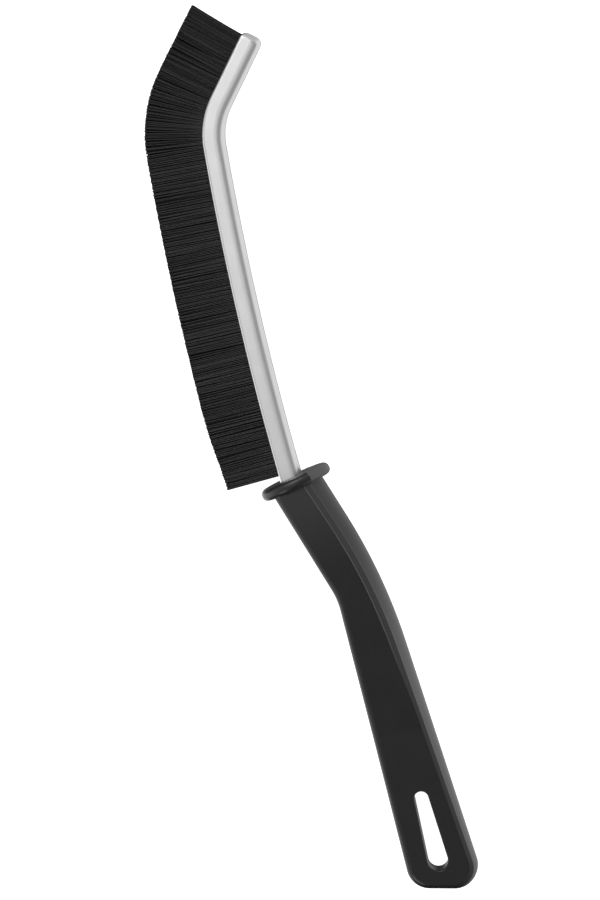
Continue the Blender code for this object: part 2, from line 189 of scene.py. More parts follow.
class FinishLoom(Loom):
    """A material's tree, with its Principled shader and the patterns that finishes share."""

    def __init__(self, name: str, **constants: Feed) -> None:
        """Starts a material.

        Args:
            name: The material's name.
            constants: Settings that are the same all over, by the shader's socket name with
                underscores for spaces.
        """
        self.material = bpy.data.materials.new(name)
        self.material.use_nodes = True
        super().__init__(self.material.node_tree)
        self.shader = self.tree.nodes["Principled BSDF"]
        for socket, value in constants.items():
            self.shader.inputs[socket.replace("_", " ")].default_value = value

    def finish(self, colour: Lead, relief: Lead, rough: Optional[Lead] = None) -> bpy.types.Material:
        """Joins the patterns to the shader.

        Args:
            colour: The base colour.
            relief: The bent normal.
            rough: The roughness, unless it is constant.

        Returns:
            The material.
        """
        for socket, value in (("Base Color", colour), ("Roughness", rough), ("Normal", relief)):
            if value:
                self.tree.links.new(value.socket, self.shader.inputs[socket])
        return self.material

    def place(self) -> Lead:
        """Object coordinates, in metres."""
        return self.node("ShaderNodeTexCoord", output="Object")

    def attribute(self, name: str, output: str = "Fac") -> Lead:
        """An attribute of the piece's own mesh."""
        return self.node("ShaderNodeAttribute", {"attribute_name": name}, output=output)

    def noise(self, place: Lead, size: float, detail: float, roughness: float = 0.5) -> Lead:
        """Soft noise, about 0.5 on average.

        Args:
            place: The coordinates, in metres.
            size: About how far apart its lumps are, in metres.
            detail: How many finer layers it has.
            roughness: How strong the finer layers are.

        Returns:
            The noise.
        """
        inputs = {"Vector": place, "Scale": 1.0 / size, "Detail": detail, "Roughness": roughness}
        return self.node("ShaderNodeTexNoise", {}, inputs)

    def tint(self, share: Feed, first: Feed, second: Feed) -> Lead:
        """A colour between two colours."""
        picks = [value if isinstance(value, Lead) else (*value, 1.0) for value in (first, second)]
        inputs = {0: share, 6: picks[0], 7: picks[1]}
        return self.node("ShaderNodeMix", {"data_type": "RGBA"}, inputs, 2)

    def bump(self, height: Lead, depth: float, under: Optional[Lead] = None) -> Lead:
        """Relief of a given depth, over any coarser relief."""
        inputs = {"Height": height, "Distance": depth, "Strength": 1.0}
        if under:
            inputs["Normal"] = under
        return self.node("ShaderNodeBump", {}, inputs)


class GrowthLoom(Loom):
    """A geometry node tree with named inputs, used to grow a piece and then baked flat."""

    def __init__(self, name: str, sizes: Sequence[str] = (), counts: Sequence[str] = ()) -> None:
        """Starts the tree.

        Args:
            name: The tree's name.
            sizes: Names of the inputs that are lengths.
            counts: Names of the inputs that are whole numbers.
        """
        super().__init__(bpy.data.node_groups.new(name, "GeometryNodeTree"))
        inputs = [("Geometry", "Geometry"), *((label, "Float") for label in sizes)]
        inputs += [(label, "Int") for label in counts]
        face = self.tree.interface
        for label, kind in inputs:
            face.new_socket(name=label, in_out="INPUT", socket_type="NodeSocket" + kind)
        face.new_socket(name="Geometry", in_out="OUTPUT", socket_type="NodeSocketGeometry")
        self.given = self.node("NodeGroupInput")

    def route(self) -> Lead:
        """The mesh that the tree starts from, as a curve."""
        return self.node("GeometryNodeMeshToCurve", {}, {0: self.given})

    def keep(self, geometry: Lead, **values: Feed) -> Lead:
        """Stores numbers on every point, each under its own name."""
        for name, value in values.items():
            inputs = {"Geometry": geometry, "Name": name, "Value": value}
            geometry = self.node("GeometryNodeStoreNamedAttribute", {"domain": "POINT"}, inputs)
        return geometry

    def kept(self, name: str) -> Lead:
        """A number that was stored on every point."""
        return self.node("GeometryNodeInputNamedAttribute", {}, {"Name": name})

    def chance(self, low: float, high: float, number: Feed, seed: Feed) -> Lead:
        """A random number between two, the same for the same number and seed."""
        inputs = {2: low, 3: high, 7: number, 8: seed}
        return self.node("FunctionNodeRandomValue", {"data_type": "FLOAT"}, inputs, 1)

    def combined(self, **parts: Feed) -> Lead:
        """A vector with some of its parts given, and the others 0."""
        return self.node("ShaderNodeCombineXYZ", {}, parts)

    def deliver(self, curves: Lead, sides: int, radius: float, finish: bpy.types.Material) -> None:
        """Ends the tree in closed round tubes along the curves.

        Args:
            curves: What the tree has made.
            sides: How many sides a tube has.
            radius: Its radius.
            finish: Its material.
        """
        profile = {"Resolution": sides, "Radius": radius}
        ring = self.node("GeometryNodeCurvePrimitiveCircle", {}, profile)
        inputs = {"Curve": curves, "Profile Curve": ring, "Fill Caps": True}
        tubes = self.node("GeometryNodeCurveToMesh", {}, inputs)
        smooth = self.node("GeometryNodeSetShadeSmooth", {}, {0: tubes})
        real = self.node("GeometryNodeRealizeInstances", {}, {0: smooth})
        dressed = self.node("GeometryNodeSetMaterial", {}, {"Geometry": real, "Material": finish})
        end = self.tree.nodes.new("NodeGroupOutput")
        self.tree.links.new(dressed.socket, end.inputs[0])

    def grow(self, name: str, spots: Sequence[Vector], **sizes: float) -> bpy.types.Object:
        """Runs the tree on a line of edges.

        Args:
            name: The finished piece's name.
            spots: The line's points, in order.
            sizes: A value for each named input.

        Returns:
            The piece, as a plain mesh with no modifier.
        """
        line = bpy.data.meshes.new(name + "_line")
        edges = [(index, index + 1) for index in range(len(spots) - 1)]
        line.from_pydata([spot[:] for spot in spots], edges, [])
        carrier = stand_up(name + "_line", line)
        modifier = carrier.modifiers.new("grow", "NODES")
        modifier.node_group = self.tree
        for item in self.tree.interface.items_tree:
            if item.in_out == "INPUT" and item.name in sizes:
                modifier[item.identifier] = sizes[item.name]
        return flatten(carrier, name)


# Mesh work


def stand_up(name: str, data: bpy.types.ID) -> bpy.types.Object:
    """Links a new object for a mesh, a light or a camera."""
    item = bpy.data.objects.new(name, data)
    bpy.context.scene.collection.objects.link(item)
    return item


def flatten(item: bpy.types.Object, name: str) -> bpy.types.Object:
    """Turns an object with modifiers into a plain mesh piece.

    Args:
        item: The object, which is removed.
        name: The finished piece's name.

    Returns:
        The finished piece.
    """
    bpy.context.view_layer.update()
    graph = bpy.context.evaluated_depsgraph_get()
    mesh = bpy.data.meshes.new_from_object(item.evaluated_get(graph), depsgraph=graph)
    bpy.data.objects.remove(item, do_unlink=True)
    mesh.name = name
    return stand_up(name, mesh)


def carve(
    item: bpy.types.Object, tools: Sequence[tuple[bpy.types.Mesh, Cut]], name: str
) -> bpy.types.Object:
    """Adds and removes closed bodies, and evens out the shading of what is left.

    Args:
        item: The object that is worked on.
        tools: Each tool's body, and what it does.
        name: The finished piece's name.

    Returns:
        The finished piece.
    """
    bodies = []
    for mesh, cut in tools:
        body = stand_up("tool", mesh)
        bodies.append(body)
        modifier = item.modifiers.new("cut", "BOOLEAN")
        modifier.operation = cut.value
        modifier.solver = "EXACT"
        modifier.object = body
    item.modifiers.new("shading", "WEIGHTED_NORMAL").keep_sharp = True
    piece = flatten(item, name)
    for body in bodies:
        bpy.data.objects.remove(body, do_unlink=True)
    return piece


def bridge(bm: bmesh.types.BMesh, rings: Sequence[Sequence[bmesh.types.BMVert]]) -> None:
    """Adds faces between closed rings, and over the first and the last.

    Args:
        bm: The mesh that is being made.
        rings: Rings with the same number of vertices.
    """
    for ring, following in zip(rings, rings[1:]):
        for index in range(len(ring)):
            after = (index + 1) % len(ring)
            bm.faces.new((ring[index], ring[after], following[after], following[index]))
    bm.faces.new(rings[0])
    bm.faces.new(list(reversed(rings[-1])))


def settle(bm: bmesh.types.BMesh, name: str) -> bpy.types.Mesh:
    """Turns finished mesh work into a smooth-shaded mesh that faces outwards.

    Args:
        bm: The mesh work, which is freed.
        name: The mesh's name.

    Returns:
        The mesh.
    """
    bmesh.ops.recalc_face_normals(bm, faces=bm.faces)
    mesh = bpy.data.meshes.new(name)
    bm.to_mesh(mesh)
    bm.free()
    mesh.shade_smooth()
    mesh.set_sharp_from_angle(angle=CREASE)
    return mesh


def placed(spot: Vector, height: float) -> Vector:
    """A place in plan, at a height above the brush's middle plane, in the frame."""
    return Vector((spot.x, spot.y, height)) + PLAN_ZERO


def arc(centre: Pair, radius: float, first: float, last: float, steps: int) -> list[Vector]:
    """Points on a circle in a plane.

    Args:
        centre: The circle's centre.
        radius: Its radius.
        first: The angle of the first point.
        last: The angle of the last point.
        steps: How many steps there are between them.

    Returns:
        The points.
    """
    angles = (first + (last - first) * step / steps for step in range(steps + 1))
    return [
        Vector((centre[0] + radius * math.cos(angle), centre[1] + radius * math.sin(angle)))
        for angle in angles
    ]


def quarter(inward: float, upward: float, steps: int) -> list[Pair]:
    """How far a quarter round has turned in, and how far it has risen, after each step.

    Args:
        inward: How far it turns in altogether.
        upward: How far it rises altogether.
        steps: How many steps it has.

    Returns:
        Both distances for each step, and for the start.
    """
    angles = (QUARTER_TURN * step / steps for step in range(steps + 1))
    return [(inward * (1.0 - math.cos(angle)), upward * math.sin(angle)) for angle in angles]


def ease(value: float, low: float, high: float) -> float:
    """A smooth step from 0 at low to 1 at high."""
    share = max(0.0, min(1.0, (value - low) / (high - low)))
    return share * share * (3.0 - 2.0 * share)


def present(
    piece: bpy.types.Object, node: str, finish: Optional[bpy.types.Material] = None
) -> None:
    """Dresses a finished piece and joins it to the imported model.

    Args:
        piece: The finished piece.
        node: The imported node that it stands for.
        finish: Its material, unless it has one already.
    """
    if finish:
        piece.data.materials.clear()
        piece.data.materials.append(finish)
    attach(piece, BODY)
    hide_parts(node)
    LOG.info("%s: %d faces, stands for %s", piece.name, len(piece.data.polygons), node)


# Finishes


@dataclass(frozen=True)
class MouldedPlastic:
    """Black polypropylene: a close mould grain, faint sink marks and a drier side; its paler side
    and the lighter face near the collar are painted light.
    """

    name: str = "black_plastic_moulded"
    body: Colour = (0.0040, 0.0040, 0.0043)
    # Painted light: the side is painted paler, standing in for the light that it catches.
    land_sheen: Colour = (0.100, 0.100, 0.101)
    land_sheen_share: float = 0.25
    # Painted sheen: the face is painted lighter near the collar.
    neck: Colour = (0.019, 0.019, 0.0195)
    neck_sheen_span: Pair = (90.0 * MM, 116.0 * MM)
    scuff: Colour = (0.045, 0.045, 0.045)
    grain_share: float = 0.2
    scratch_share: float = 0.5
    gloss: float = 0.31
    land_gloss: float = 0.5
    grain: float = 0.28 * MM
    grain_depth: float = 0.010 * MM
    sink: float = 9.0 * MM
    sink_depth: float = 0.05 * MM
    handling: float = 14.0 * MM
    scratch: float = 0.5 * MM
    scratch_lay: tuple[float, float, float] = (1.0, 0.22, 1.0)

    def make(self) -> bpy.types.Material:
        """Builds the material."""
        loom = FinishLoom(self.name, IOR=1.4)
        place = loom.place()
        land_sheen = loom.attribute("land_sheen")
        grain = loom.noise(place, self.grain, 3.0, 0.6)
        handled = loom.ease(loom.noise(place, self.handling, 3.0), 0.45, 0.7)
        stretched = loom.vector("MULTIPLY", place, self.scratch_lay)
        scratch = loom.ease(loom.noise(stretched, self.scratch, 4.0, 0.7), 0.66, 0.74)
        height = loom.node("ShaderNodeSeparateXYZ", {}, {0: place}, "Y") - PLAN_ZERO.y
        # Painted sheen: the face is painted lighter towards the collar, except where the side is
        # painted paler.
        plain = 1.0 - loom.sum("MINIMUM", loom.sum("ABSOLUTE", land_sheen), 1.0)
        colour = loom.tint(loom.ease(height, *self.neck_sheen_span) * plain, self.body, self.neck)
        # Painted light: the marked side is painted paler; only its drier roughness is the moulding's
        # own.
        colour = loom.tint(land_sheen * self.land_sheen_share, colour, self.land_sheen)
        colour = loom.tint(grain * self.grain_share, colour, self.scuff)
        colour = loom.tint(scratch * handled * self.scratch_share, colour, self.scuff)
        rough = loom.blend(loom.sum("MINIMUM", land_sheen, 1.0), self.gloss, self.land_gloss)
        rough = rough + grain * 0.10 - handled * 0.05 + scratch * 0.08 - 0.04
        sink = loom.bump(loom.noise(place, self.sink, 1.0), self.sink_depth)
        return loom.finish(colour, loom.bump(grain, self.grain_depth, sink), rough)


@dataclass(frozen=True)
class SatinSteel:
    """Rolled strip steel: satin lines along the strip, with light handling marks."""

    name: str = "satin_steel_drawn"
    bright: Colour = (0.66, 0.66, 0.66)
    dull: Colour = (0.50, 0.50, 0.50)
    gloss: float = 0.25
    line_width: float = 0.10 * MM
    line_stretch: float = 0.012
    line_depth: float = 0.0016 * MM

    def make(self) -> bpy.types.Material:
        """Builds the material."""
        loom = FinishLoom(self.name, Metallic=1.0)
        lay = loom.attribute("lay", "Vector")
        drawn = loom.vector("MULTIPLY", lay, (self.line_stretch, 1.0, 1.0))
        line = loom.noise(drawn, self.line_width, 3.0, 0.7)
        place = loom.place()
        cloud = loom.noise(place, 8.0 * MM, 3.0, 0.6)
        speck = loom.ease(loom.noise(place, 0.35 * MM, 4.0, 0.75), 0.68, 0.78)
        colour = loom.tint(line * 0.35 + cloud * 0.3, self.bright, self.dull)
        colour = loom.tint(speck * 0.35, colour, self.dull)
        rough = line * 0.12 + cloud * 0.08 + speck * 0.06 + (self.gloss - 0.04)
        return loom.finish(colour, loom.bump(line, self.line_depth), rough)


@dataclass(frozen=True)
class BrightWire:
    """Drawn core wire, bright with faint die lines."""

    name: str = "bright_wire_drawn"
    bright: Colour = (0.60, 0.60, 0.59)
    dull: Colour = (0.40, 0.40, 0.39)
    gloss: float = 0.24
    line_width: float = 0.12 * MM
    line_stretch: float = 0.05
    line_depth: float = 0.002 * MM

    def make(self) -> bpy.types.Material:
        """Builds the material."""
        loom = FinishLoom(self.name, Metallic=1.0)
        drawn = loom.vector("MULTIPLY", loom.place(), (1.0, self.line_stretch, 1.0))
        line = loom.noise(drawn, self.line_width, 3.0, 0.7)
        colour = loom.tint(line, self.bright, self.dull)
        return loom.finish(colour, loom.bump(line, self.line_depth), line * 0.15 + self.gloss)


@dataclass(frozen=True)
class NylonFilament:
    """Black nylon filament: each one a little different, dull grey where it is cut, and painted
    darker in the inner layers as shade.
    """

    name: str = "black_nylon_filament"
    deep: Colour = (0.001, 0.001, 0.0011)
    pale: Colour = (0.022, 0.022, 0.0223)
    cut: Colour = (0.04, 0.04, 0.04)
    gloss: float = 0.20
    inner_dulling: float = 0.4

    def make(self) -> bpy.types.Material:
        """Builds the material."""
        loom = FinishLoom(self.name, IOR=1.5, Specular_IOR_Level=0.25)
        tone = loom.attribute("tone")
        reach = loom.attribute("reach")
        haze = loom.noise(loom.place(), 0.5 * MM, 2.0)
        # Painted shade: filaments in the inner layers are painted darker, standing in for the shade
        # between layers.
        outer = loom.ease(loom.attribute("outer"), 0.55, 0.95)
        colour = loom.tint((tone * 0.6 + haze * 0.2 + 0.2) * outer, self.deep, self.pale)
        colour = loom.tint(loom.ease(reach, 0.992, 1.0), colour, self.cut)
        rough = tone * 0.12 + haze * 0.10 + (self.gloss - 0.05)
        rough = rough + (1.0 - outer) * self.inner_dulling
        return loom.finish(colour, loom.bump(haze, 0.004 * MM), rough)


@dataclass(frozen=True)
class StudioPaper:
    """Evenly lit white paper, with a faint tooth."""

    name: str = "studio_paper"
    white: Colour = (0.80, 0.80, 0.80)
    shade: Colour = (0.78, 0.78, 0.78)
    glow: float = 0.93

    def make(self) -> bpy.types.Material:
        """Builds the material."""
        loom = FinishLoom(
            self.name, Roughness=0.9, Emission_Color=(1.0, 1.0, 1.0, 1.0),
            Emission_Strength=self.glow, Specular_IOR_Level=0.1,
        )
        tooth = loom.noise(loom.place(), 1.5 * MM, 3.0)
        return loom.finish(loom.tint(tooth, self.white, self.shade), loom.bump(tooth, 0.01 * MM))


# The steel strip, its core wire and its filament


@dataclass(frozen=True)
class StripRoute:
    """The strip's centre line in plan: tang, neck, long bow, tip bend and straight tip."""

    mouth: Pair = (-8.8 * MM, 119.0 * MM)
    tang_heading: float = math.radians(-15.0)
    tang_grip: float = 9.0 * MM
    tang_bend_radius: float = 25.0 * MM
    tang_neck: float = 6.0 * MM
    bow_radius: float = 880.0 * MM
    bow_turn: float = math.radians(6.0)
    tip_bend_radius: float = 20.0 * MM
    tip_bend_turn: float = math.radians(36.0)
    tip_length: float = 20.0 * MM

    @property
    def runs(self) -> list[Pair]:
        """Each run's length and turn."""
        return [
            (self.tang_grip, 0.0),
            (self.tang_bend_radius * -self.tang_heading, -self.tang_heading),
            (self.tang_neck, 0.0),
            (self.bow_radius * self.bow_turn, self.bow_turn),
            (self.tip_bend_radius * self.tip_bend_turn, self.tip_bend_turn),
            (self.tip_length, 0.0),
        ]

    @property
    def tang_length(self) -> float:
        """The length that is inside the handle."""
        return sum(length for length, turn in self.runs[:3])

    @property
    def length(self) -> float:
        """The whole length, from the hidden end to the nose."""
        return sum(length for length, turn in self.runs)

    def follow(self, start: Pair, distance: float) -> tuple[Vector, float]:
        """Walks along the runs.

        Args:
            start: Where the first run begins.
            distance: How far to walk.

        Returns:
            The point reached, and the heading there, clockwise from +Y.
        """
        x, y = start
        heading = self.tang_heading
        for length, turn in self.runs:
            step = min(distance, length)
            if turn:
                radius = length / turn
                turned = heading + step / radius
                x += radius * (math.cos(heading) - math.cos(turned))
                y += radius * (math.sin(turned) - math.sin(heading))
                heading = turned
            else:
                x += step * math.sin(heading)
                y += step * math.cos(heading)
            distance -= step
            if distance <= 0.0:
                break
        return Vector((x, y)), heading

    @property
    def start(self) -> Vector:
        """The plan position of the strip's hidden end."""
        return Vector(self.mouth) - self.follow((0.0, 0.0), self.tang_length)[0]

    def point(self, along: float, offset: float = 0.0, height: float = 0.0) -> Vector:
        """A place beside the centre line, in the frame.

        Args:
            along: The distance along the strip, which may lie a little before its start.
            offset: The distance towards the strip's rounded back.
            height: The height above the brush's middle plane.

        Returns:
            The place.
        """
        place, heading = self.follow(self.start, max(0.0, along))
        before = min(0.0, along)
        x = place.x + offset * math.cos(heading) + before * math.sin(heading)
        y = place.y - offset * math.sin(heading) + before * math.cos(heading)
        return placed(Vector((x, y)), height)

    def stations(self, first: float, last: float, spacing: float) -> list[float]:
        """Even distances along the strip.

        Args:
            first: The first distance.
            last: The last distance.
            spacing: About how far apart they are.

        Returns:
            The distances.
        """
        return list(np.linspace(first, last, max(2, math.ceil((last - first) / spacing) + 1)))


ROUTE = StripRoute()


@dataclass
class SteelChannel:
    """Strip steel rolled into a channel, its lips turned in on the filament and its nose closed."""

    height: float = 6.3 * MM
    width: float = 5.5 * MM
    wall: float = 0.7 * MM
    lip_radius: float = 0.9 * MM
    lip_inturn: float = 0.3 * MM
    lip_bevel: float = 0.18 * MM
    nose_radius: float = 2.0 * MM
    nose_steps: int = 12
    spacing: float = 1.0 * MM
    back_from: float = 0.10 * MM
    back_fullness: float = 3.0
    back_steps: int = 20
    cheek_taper: float = 0.18 * MM
    cheek_shares: tuple[float, ...] = (0.06, 0.35, 0.65, 0.94)
    lip_steps: int = 7
    inner_steps: int = 8
    inner_flat: float = 0.1 * MM
    lay_marks: int = 400

    @property
    def mouth_half(self) -> float:
        """Half of the gap between the lips."""
        return self.width / 2 - self.wall - self.lip_inturn

    def outer(self, grow: float = 0.0) -> list[Vector]:
        """The outside of the section: offset towards the back, then height.

        Args:
            grow: How far outside the steel the outline lies.

        Returns:
            The closed outline.
        """
        half_height = self.height / 2 + grow
        half_width = self.width / 2 + grow
        lip = self.lip_radius + grow
        depth = half_height - self.back_from
        power = 2.0 / self.back_fullness
        upper = []
        for step in range(self.back_steps):
            angle = QUARTER_TURN * step / self.back_steps
            across, through = math.cos(angle) ** power, math.sin(angle) ** power
            upper.append(Vector((self.back_from + depth * across, half_width * through)))
        upper.append(Vector((self.back_from, half_width)))
        corner = lip - half_height
        for share in self.cheek_shares:
            across = self.back_from + (corner - self.back_from) * share
            upper.append(Vector((across, half_width - self.cheek_taper * share)))
        centre = (corner, half_width - self.cheek_taper - lip)
        upper += arc(centre, lip, QUARTER_TURN, math.pi, self.lip_steps)
        return upper + [Vector((spot.x, -spot.y)) for spot in reversed(upper[1:])]

    def hollow(self) -> list[Vector]:
        """The inside of the section: a round bottom, straight walls and the narrower mouth."""
        half_height = self.height / 2
        half_width = self.width / 2 - self.wall
        bottom = half_width - self.inner_flat
        centre = half_height - self.wall - bottom
        lip_inside = self.wall - half_height
        bevel = self.lip_bevel
        upper = arc((centre, half_width - bottom), bottom, 0.0, QUARTER_TURN, self.inner_steps)
        corners = (
            (lip_inside + self.lip_inturn, half_width),
            (lip_inside, self.mouth_half),
            (bevel - half_height, self.mouth_half),
            (-half_height, self.mouth_half + bevel),
            (-half_height - MM, self.mouth_half + bevel + MM),
        )
        upper += [Vector(corner) for corner in corners]
        return upper + [Vector((spot.x, -spot.y)) for spot in reversed(upper)]

    def sweep(
        self, outline: list[Vector], stations: list[float], name: str, draws: Sequence[float] = ()
    ) -> bpy.types.Mesh:
        """A section swept along the strip.

        Args:
            outline: The closed section.
            stations: Where it is placed along the strip.
            name: The mesh's name.
            draws: How far the section is drawn in at each station, if it is.

        Returns:
            A closed mesh.
        """
        bm = bmesh.new()
        reach = max(abs(spot.x) for spot in outline)
        span = max(abs(spot.y) for spot in outline)
        rings = []
        for along, draw in zip(stations, draws or [0.0] * len(stations)):
            across, through = 1.0 - draw / reach, 1.0 - draw / span
            spots = [ROUTE.point(along, spot.x * across, spot.y * through) for spot in outline]
            rings.append([bm.verts.new(spot) for spot in spots])
        bridge(bm, rings)
        return settle(bm, name)

    def build(self) -> bpy.types.Object:
        """Makes the pressed strip."""
        stations = ROUTE.stations(0.0, ROUTE.length - self.nose_radius, self.spacing)
        draws = [0.0] * len(stations)
        for draw, ahead in quarter(self.nose_radius, self.nose_radius, self.nose_steps)[1:]:
            stations.append(ROUTE.length - self.nose_radius + ahead)
            draws.append(draw)
        bar = stand_up("strip_bar", self.sweep(self.outer(), stations, "strip_bar", draws))
        inside = [-0.5 * MM, *ROUTE.stations(0.0, ROUTE.length - self.wall, self.spacing)]
        hollow = self.sweep(self.hollow(), inside, "strip_hollow")
        return carve(bar, [(hollow, Cut.REMOVE)], "steel_strip")

    def lay_out(self, piece: bpy.types.Object) -> None:
        """Stores how far along and across the strip every vertex lies, for its drawn lines.

        Args:
            piece: The pressed strip.
        """
        mesh = piece.data
        spots = np.empty(len(mesh.vertices) * 3)
        mesh.vertices.foreach_get("co", spots)
        spots = spots.reshape(-1, 3)
        marks = np.linspace(0.0, ROUTE.length, self.lay_marks)
        line = np.array([ROUTE.point(mark)[:] for mark in marks])
        back = np.array([(ROUTE.point(mark, MM) - ROUTE.point(mark))[:] for mark in marks]) / MM
        lay = np.empty_like(spots)
        for index, spot in enumerate(spots):
            gaps = spot - line
            nearest = int(np.argmin((gaps[:, :2] ** 2).sum(axis=1)))
            lay[index] = (marks[nearest], gaps[nearest] @ back[nearest], gaps[nearest][2])
        mesh.attributes.new("lay", "FLOAT_VECTOR", "POINT").data.foreach_set("vector", lay.ravel())

    def dress(self) -> None:
        """Builds the strip, gives it its finish and joins it to the model."""
        piece = self.build()
        self.lay_out(piece)
        present(piece, "channel", SatinSteel().make())


@dataclass
class CoreWire:
    """The round wire that the filament is folded over."""

    radius: float = 0.7 * MM
    in_tang: float = 10.0 * MM
    nose_gap: float = 1.0 * MM
    fold_gap: float = 0.3 * MM
    sides: int = 16
    spacing: float = 1.5 * MM

    def offset(self, channel: SteelChannel) -> float:
        """How far behind the centre line the wire lies."""
        fold = channel.width / 2 - channel.wall - self.fold_gap
        return channel.height / 2 - channel.wall - self.fold_gap - fold

    def dress(self, channel: SteelChannel) -> None:
        """Builds the wire, gives it its finish and joins it to the model.

        Args:
            channel: The channel that it lies in.
        """
        loom = GrowthLoom("core_wire_tree")
        loom.deliver(loom.route(), self.sides, self.radius, BrightWire().make())
        first, last = ROUTE.tang_length - self.in_tang, ROUTE.length - self.nose_gap
        stations = ROUTE.stations(first, last, self.spacing)
        spots = [ROUTE.point(along, self.offset(channel)) for along in stations]
        present(loom.grow("core_wire_drawn", spots), "core_wire")


@dataclass
class FilamentRow:
    """Nylon filament folded over the core wire, gathered in small tufts and trimmed level."""

    bundles: int = 36
    first: float = ROUTE.tang_length + 0.4 * MM
    last: float = ROUTE.length - 1.2 * MM
    line_spacing: float = 0.2 * MM
    free_length: float = 15.65 * MM
    trim: Pair = (-0.10 * MM, 0.14 * MM)
    collar_trim: float = 1.1 * MM
    collar_trim_to: float = ROUTE.tang_length + 20.0 * MM
    tip_trim: float = 0.25 * MM
    tip_trim_from: float = ROUTE.length - 17.0 * MM
    diameter: float = 0.40 * MM
    sides: int = 5
    strand_points: int = 17
    layers: int = 5
    per_layer: int = 8
    fan_fill: float = 0.8
    rank_jitter: float = 0.3
    layer_jitter: Pair = (-0.35, 0.2)
    fold_share: float = 0.375
    inner_fold: float = 0.88 * MM
    outer_fold: float = 1.82 * MM
    inner_pinch: float = 0.12 * MM
    pinch_growth: float = 1.35 * MM
    jostle: float = 0.10 * MM
    tip_growth: float = 0.4
    wander: float = 0.16 * MM
    tuft: float = 1.35 * MM
    tuft_stagger: float = 0.9 * MM
    tuft_wave: float = 900.0
    tuft_sway: float = 0.35 * MM
    tuft_draw: float = 0.10
    tuft_lean: float = 0.10 * MM
    own_lean: float = 0.20 * MM
    rogue_above: float = 0.975
    rogue_lean: float = 0.5 * MM
    end_share: float = 0.1
    nose_lean: float = 1.3 * MM
    nose_lean_from: float = 16.0 * MM
    lean_power: float = 1.25

    @property
    def pitch(self) -> float:
        """The length of the strip that one bundle fills."""
        return (self.last - self.first) / self.bundles

    def tree(self, channel: SteelChannel, wire: CoreWire) -> GrowthLoom:
        """The tree that grows one bundle of folded filament on a stretch of the route.

        Args:
            channel: The channel that grips the filament.
            wire: The wire that the filament is folded over.

        Returns:
            The tree.
        """
        loom = GrowthLoom("filament_tree", sizes=["begins"], counts=["filaments", "seed"])
        seed = loom.given.other("seed")
        strands = self.lay_strands(loom, seed)
        fold_at = wire.offset(channel)
        lip_at = -channel.height / 2
        # Along a strand, sway runs from -1 at one cut end, through 0 at the fold, to 1 at the other.
        sway = loom.node("GeometryNodeSplineParameter") * 2.0 - 1.0
        away = loom.sum("ABSOLUTE", sway)
        turn = loom.sum("MINIMUM", away / self.fold_share, 1.0) * QUARTER_TURN
        leg = loom.sum("MAXIMUM", (away - self.fold_share) / (1.0 - self.fold_share), 0.0)
        layer = loom.kept("layer")
        along = loom.kept("start") + loom.given.other("begins")
        number = loom.kept("number") * 2.0 + (sway > 0.0)
        fold = layer * (self.outer_fold - self.inner_fold) + self.inner_fold
        trim = loom.chance(*self.trim, number, seed + 7)
        trim = trim + (1.0 - loom.ease(along, self.first, self.collar_trim_to)) * self.collar_trim
        trim = trim + loom.ease(along, self.tip_trim_from, self.last) * self.tip_trim
        tip_at = trim + lip_at - self.free_length
        offset = loom.sum("COSINE", turn) * fold + fold_at + (tip_at - fold_at) * leg
        reach = loom.clamped((lip_at - offset) / (lip_at - tip_at))
        # Height: round the fold, pinched by the lips, then spreading a little to the cut end.
        jostle = loom.chance(-self.jostle, self.jostle, number, seed + 11)
        pinch = layer * self.pinch_growth + self.inner_pinch + jostle
        gripped = loom.blend(loom.clamped((fold_at - offset) / (fold_at - lip_at)), fold, pinch)
        spread = pinch * self.tip_growth + loom.chance(-self.wander, self.wander, number, seed + 13)
        height = loom.sum("SIGN", sway) * (loom.sum("SINE", turn) * gripped + spread * reach)
        lean = self.lean(loom, seed, along, number, sway > 0.0)
        lean = lean * loom.sum("POWER", reach, self.lean_power)
        inputs = {"Curves": loom.route(), "Length": loom.kept("start")}
        spot = loom.node("GeometryNodeSampleCurve", {"mode": "LENGTH"}, inputs, "Position")
        tangent = spot.other("Tangent")
        parts = loom.node("ShaderNodeSeparateXYZ", {}, {0: tangent}, "X")
        back = loom.combined(X=parts.other("Y"), Y=parts * -1.0)
        place = loom.vector("ADD", spot, loom.scaled(back, offset))
        place = loom.vector("ADD", place, loom.scaled(tangent, lean))
        place = loom.vector("ADD", place, loom.combined(Z=height))
        shaped = loom.node("GeometryNodeSetPosition", {}, {"Geometry": strands, "Position": place})
        tone = loom.chance(0.0, 1.0, number, seed + 29)
        # The layer is kept for the painted shade on the inner filaments.
        shaped = loom.keep(shaped, reach=reach, tone=tone, outer=layer)
        loom.deliver(shaped, self.sides, self.diameter / 2, NylonFilament().make())
        return loom

